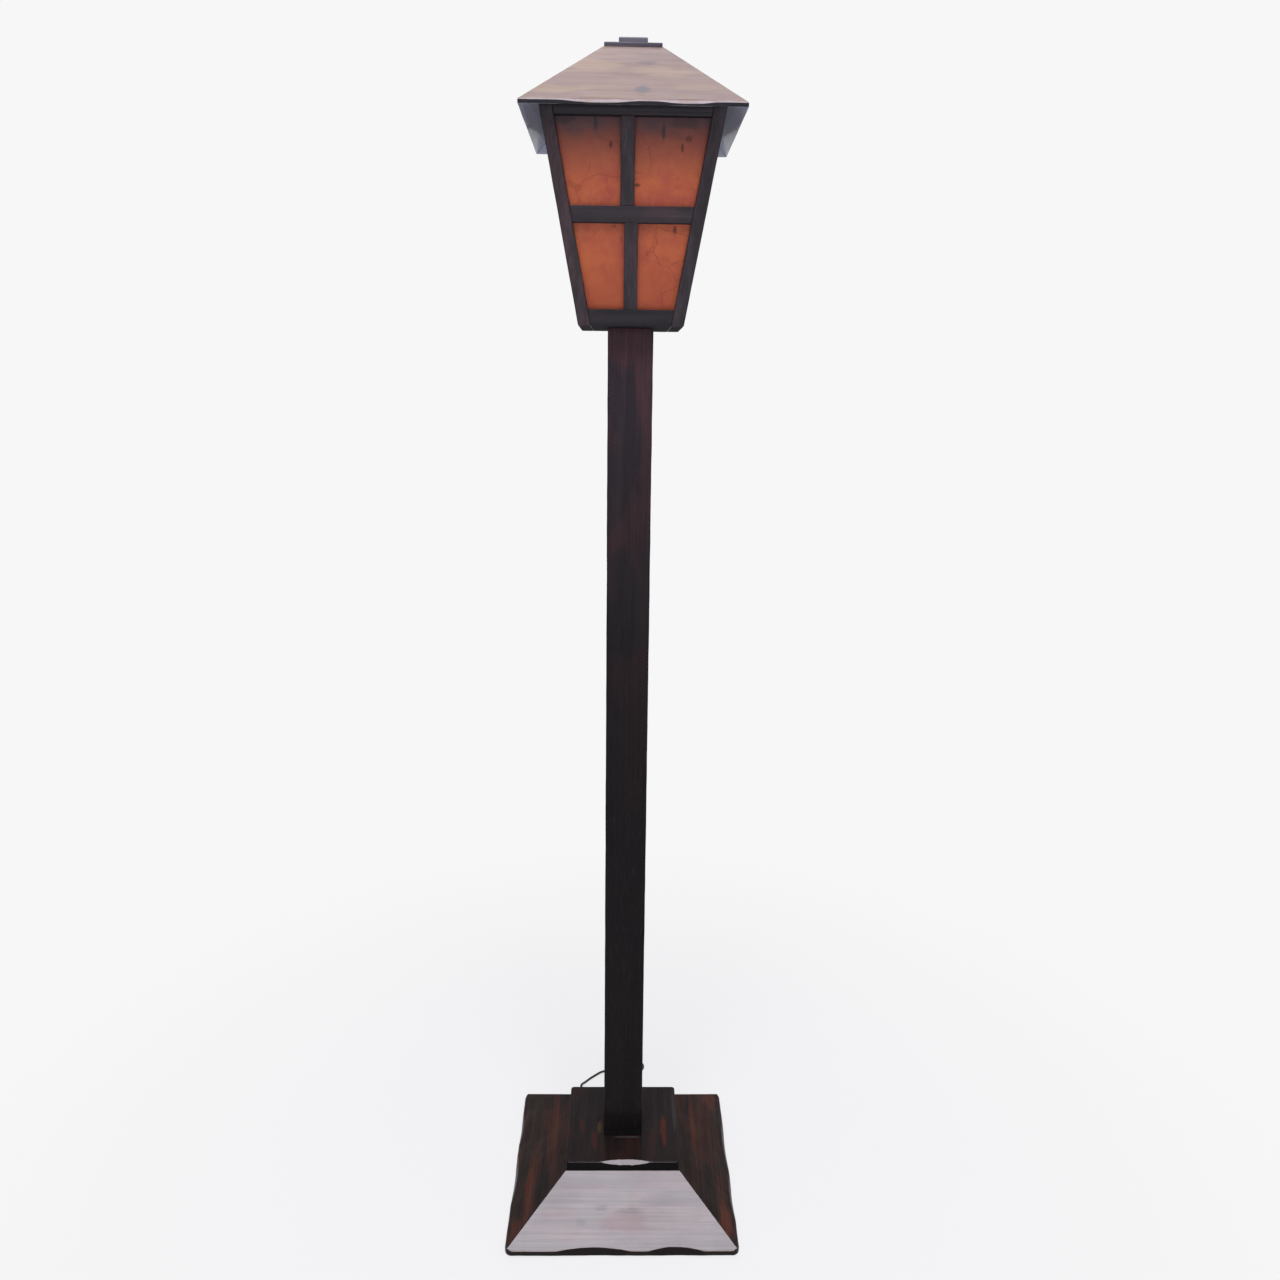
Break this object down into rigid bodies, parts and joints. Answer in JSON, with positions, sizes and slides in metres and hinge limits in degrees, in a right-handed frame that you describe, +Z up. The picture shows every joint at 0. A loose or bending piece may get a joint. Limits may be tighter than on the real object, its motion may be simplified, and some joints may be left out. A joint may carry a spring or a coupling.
{
  "type": "lantern floor lamp",
  "caption": "Floor lamp with a tapering amber-paned timber lantern under a lift-off hipped roof, on a square post and a hipped square base.",
  "frame": {"origin": "on the floor, at the middle of the base", "axes": "+Z up along the post, the front looks to -Y, +X to the right"},
  "size_m": [0.35, 0.583, 1.6765],
  "materials": {
    "stained_wood": "dark stained, glossy varnish",
    "black_wood": "near black stain, glossy varnish",
    "roof_wood": "stained, glossy varnish",
    "raw_wood": "unfinished",
    "amber_pane": "translucent, mica-like",
    "screw_steel": "zinc plated",
    "felt": "felt",
    "lampholder": "glazed moulding",
    "brass": "satin",
    "bulb_glass": "opal glass",
    "bulb_cap": "satin",
    "lead": "round flex",
    "dark_plastic": "moulded"
  },
  "bodies": {
    "lamp": {"front_base_board": "stained_wood", "right_base_board": "stained_wood", "back_base_board": "stained_wood", "left_base_board": "stained_wood", "base_plate": "stained_wood", "base_core": "raw_wood", "corner_blocks": "raw_wood", "base_panel": "raw_wood", "tenon_dowels": "raw_wood", "wood_screws": "screw_steel", "felt_pads": "felt", "post": "black_wood", "front_left_post": "black_wood", "front_right_post": "black_wood", "back_right_post": "black_wood", "back_left_post": "black_wood", "front_bottom_rail": "black_wood", "right_bottom_rail": "black_wood", "back_bottom_rail": "black_wood", "left_bottom_rail": "black_wood", "front_top_rail": "black_wood", "right_top_rail": "black_wood", "back_top_rail": "black_wood", "left_top_rail": "black_wood", "front_muntins": "black_wood", "right_muntins": "black_wood", "back_muntins": "black_wood", "left_muntins": "black_wood", "pane_beads": "black_wood", "lantern_floor": "black_wood", "front_pane": "amber_pane", "right_pane": "amber_pane", "back_pane": "amber_pane", "left_pane": "amber_pane", "holder_body": "lampholder", "holder_skirt": "lampholder", "holder_contacts": "brass", "plug_pins": "brass", "bulb_glass": "bulb_glass", "bulb_cap": "bulb_cap", "inner_lead": "lead", "lead_to_switch": "lead", "lead_to_coil": "lead", "lead_coil": "lead", "lead_tail": "lead", "cord_gland": "dark_plastic", "coil_tie": "dark_plastic", "switch_base": "dark_plastic", "switch_cover": "dark_plastic", "plug_body": "dark_plastic"},
    "roof": {"front_roof_board": "roof_wood", "right_roof_board": "roof_wood", "back_roof_board": "roof_wood", "left_roof_board": "roof_wood", "roof_frame": "raw_wood", "king_block": "raw_wood", "cap_plate": "black_wood", "cap_block": "black_wood", "cap_screw": "screw_steel"},
    "rocker": {"switch_rocker": "dark_plastic"}
  },
  "joints": [
    {"name": "roof_lift", "type": "slide", "parent": "lamp", "child": "roof", "axis": [0, 0, 1], "range_m": [0, 0.15]},
    {"name": "rocker_tip", "type": "hinge", "parent": "lamp", "child": "rocker", "pos_m": [-0.007, 0.24, 0.012], "axis": [0, 1, 0], "range_deg": [0, 14]}
  ]
}
